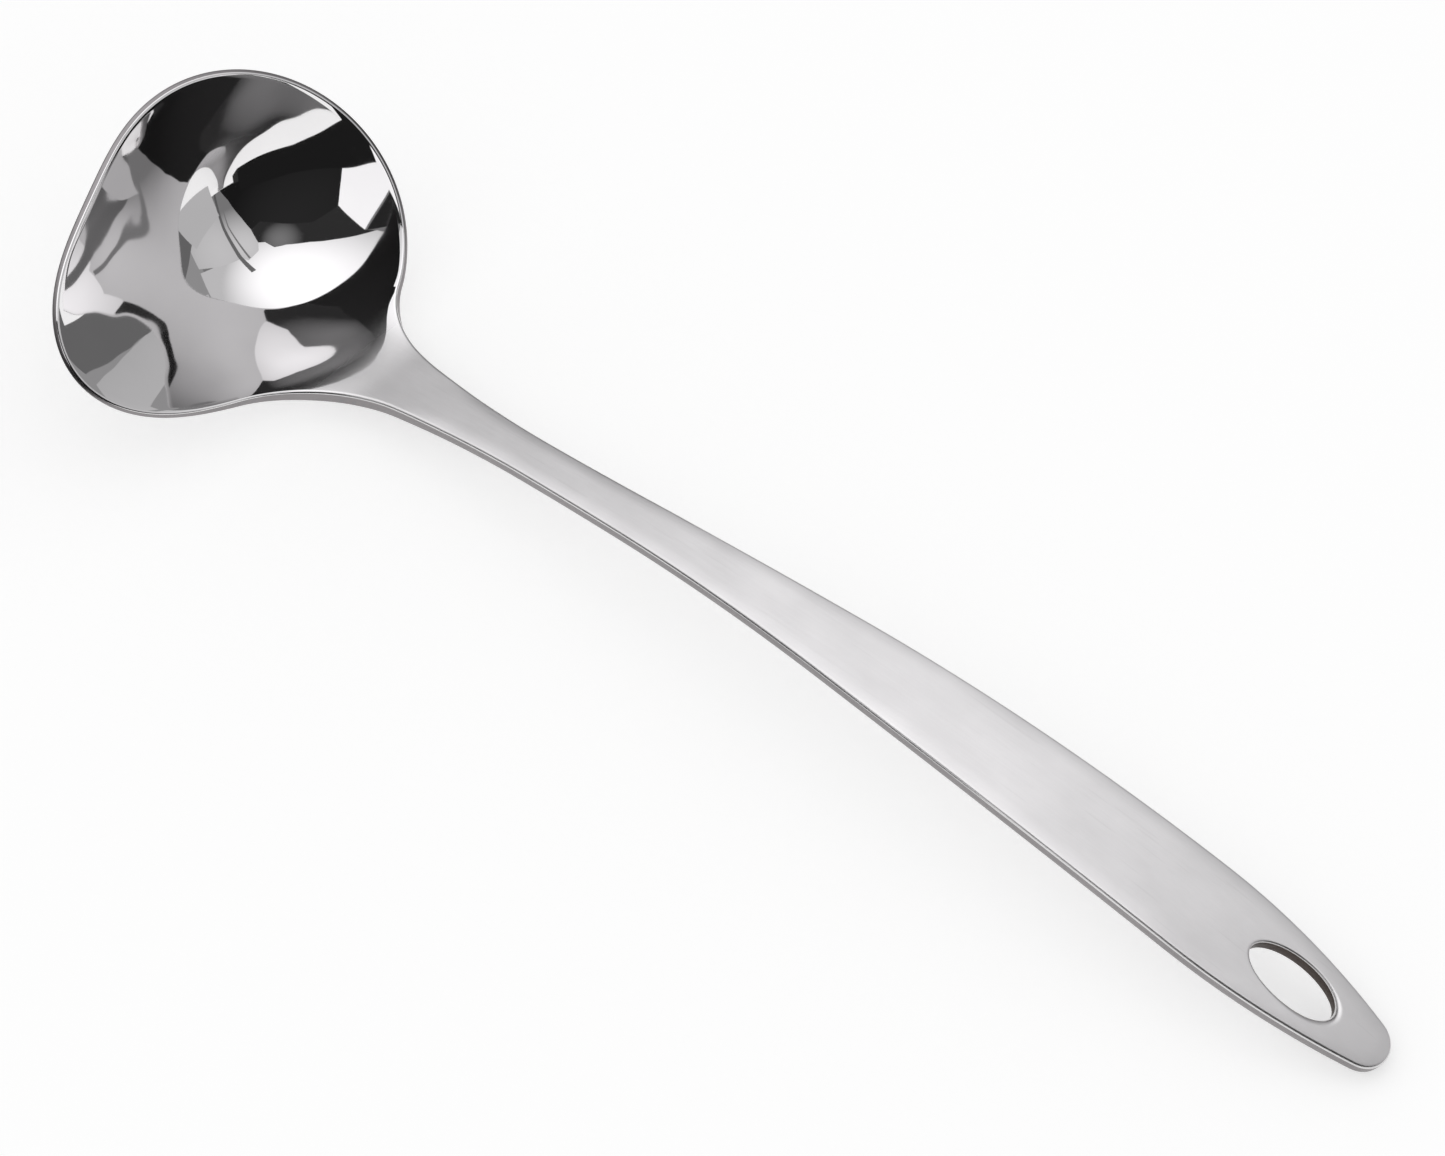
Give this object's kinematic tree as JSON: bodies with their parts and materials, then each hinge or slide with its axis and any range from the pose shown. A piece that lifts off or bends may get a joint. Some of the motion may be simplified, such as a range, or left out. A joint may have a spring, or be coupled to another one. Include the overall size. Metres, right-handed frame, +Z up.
{
  "type": "gravy ladle",
  "caption": "Stainless-steel gravy ladle in one pressed piece: round bowl with a pouring lip on one side, flared neck, arched flat handle and a hanging hole.",
  "frame": {"origin": "centre of the bounding box in plan, on the surface the ladle lies on", "axes": "+X from the bowl towards the tip of the handle, -Y to the side the pouring lip is on, +Z up as the ladle lies on its bowl and its handle's end"},
  "size_m": [0.2908, 0.0828, 0.0476],
  "materials": {
    "steel": "satin brushed handle that runs into a mirror-polished bowl"
  },
  "bodies": {
    "root": {"ladle": "steel"}
  },
  "joints": []
}
